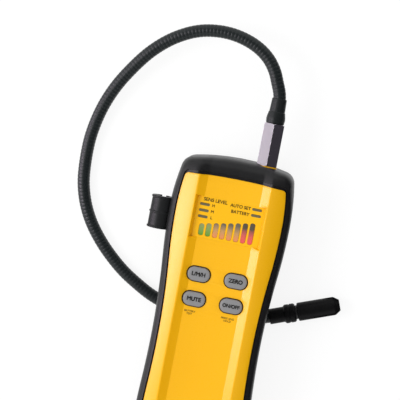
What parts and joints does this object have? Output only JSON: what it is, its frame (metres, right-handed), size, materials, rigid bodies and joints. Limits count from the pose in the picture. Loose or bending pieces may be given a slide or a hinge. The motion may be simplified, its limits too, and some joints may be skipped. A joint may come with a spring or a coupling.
{
  "type": "refrigerant leak detector",
  "caption": "Hand-held refrigerant leak detector: waisted yellow case in a black rubber boot, bar-graph display, sprung keys, and a ridged gooseneck probe with a sensor tip.",
  "frame": {"origin": "on the bench at the middle of the pad under the boot's butt end", "axes": "+X to the user's right, +Y along the case towards the probe end, +Z out of the face"},
  "size_m": [0.1918, 0.283, 0.0438],
  "materials": {
    "yellow_case": "satin moulded",
    "boot_rubber": "soft matte",
    "pad_rubber": "moulded",
    "clip_rubber": "soft matte",
    "screw_steel": "plated",
    "overlay_film": "printed film",
    "indicator_grey": "tinted",
    "lens_green": "tinted",
    "lens_orange": "tinted",
    "lens_red": "tinted",
    "key_rubber": "satin",
    "silicone_mat": "soft matte",
    "contact_carbon": "printed",
    "board_green": "solder mask",
    "led_white": "moulded",
    "chip_black": "moulded",
    "pump_plastic": "moulded",
    "motor_steel": "drawn can",
    "cushion_rubber": "soft matte",
    "tube_silicone": "translucent",
    "cell_wrap": "gloss wrap",
    "contact_plate": "plated",
    "hex_aluminium": "machined",
    "nut_brass": "machined",
    "sleeve_rubber": "satin",
    "neck_jacket": "satin ridged",
    "tip_plastic": "satin moulded",
    "holder_plastic": "moulded",
    "sensor_steel": "drawn can",
    "filter_felt": "felt"
  },
  "bodies": {
    "case": {"front_shell": "yellow_case", "rear_shell": "yellow_case", "battery_door": "yellow_case", "rubber_boot": "boot_rubber", "foot_pads": "pad_rubber", "probe_clip": "clip_rubber", "door_screw": "screw_steel", "case_screws": "screw_steel", "board_screws": "screw_steel", "display_overlay": "overlay_film", "indicator_lenses": "indicator_grey", "green_bar_lenses": "lens_green", "orange_bar_lenses": "lens_orange", "red_bar_lenses": "lens_red", "keypad_mat": "silicone_mat", "key_contacts": "contact_carbon", "main_board": "board_green", "indicator_leds": "led_white", "board_chips": "chip_black", "buzzer": "chip_black", "pump_head": "pump_plastic", "pump_motor": "motor_steel", "pump_cushions": "cushion_rubber", "air_tube": "tube_silicone", "battery_cells": "cell_wrap", "battery_contacts": "contact_plate", "probe_base": "hex_aluminium", "probe_nut": "nut_brass", "base_sleeve": "sleeve_rubber", "gooseneck": "neck_jacket", "tip_collar": "tip_plastic", "tip_holder": "holder_plastic", "tip_cap": "tip_plastic", "sensor_element": "sensor_steel", "tip_filter": "filter_felt"},
    "level_button": {"key_level": "key_rubber"},
    "zero_button": {"key_zero": "key_rubber"},
    "mute_button": {"key_mute": "key_rubber"},
    "power_button": {"key_power": "key_rubber"}
  },
  "joints": [
    {"name": "key_level_press", "type": "slide", "parent": "case", "child": "level_button", "axis": [0, 0, -1], "range_m": [0, 0.001], "stiffness_N_per_m": 600},
    {"name": "key_zero_press", "type": "slide", "parent": "case", "child": "zero_button", "axis": [0, 0, -1], "range_m": [0, 0.001], "stiffness_N_per_m": 600},
    {"name": "key_mute_press", "type": "slide", "parent": "case", "child": "mute_button", "axis": [0, 0, -1], "range_m": [0, 0.001], "stiffness_N_per_m": 600},
    {"name": "key_power_press", "type": "slide", "parent": "case", "child": "power_button", "axis": [0, 0, -1], "range_m": [0, 0.001], "stiffness_N_per_m": 600}
  ]
}
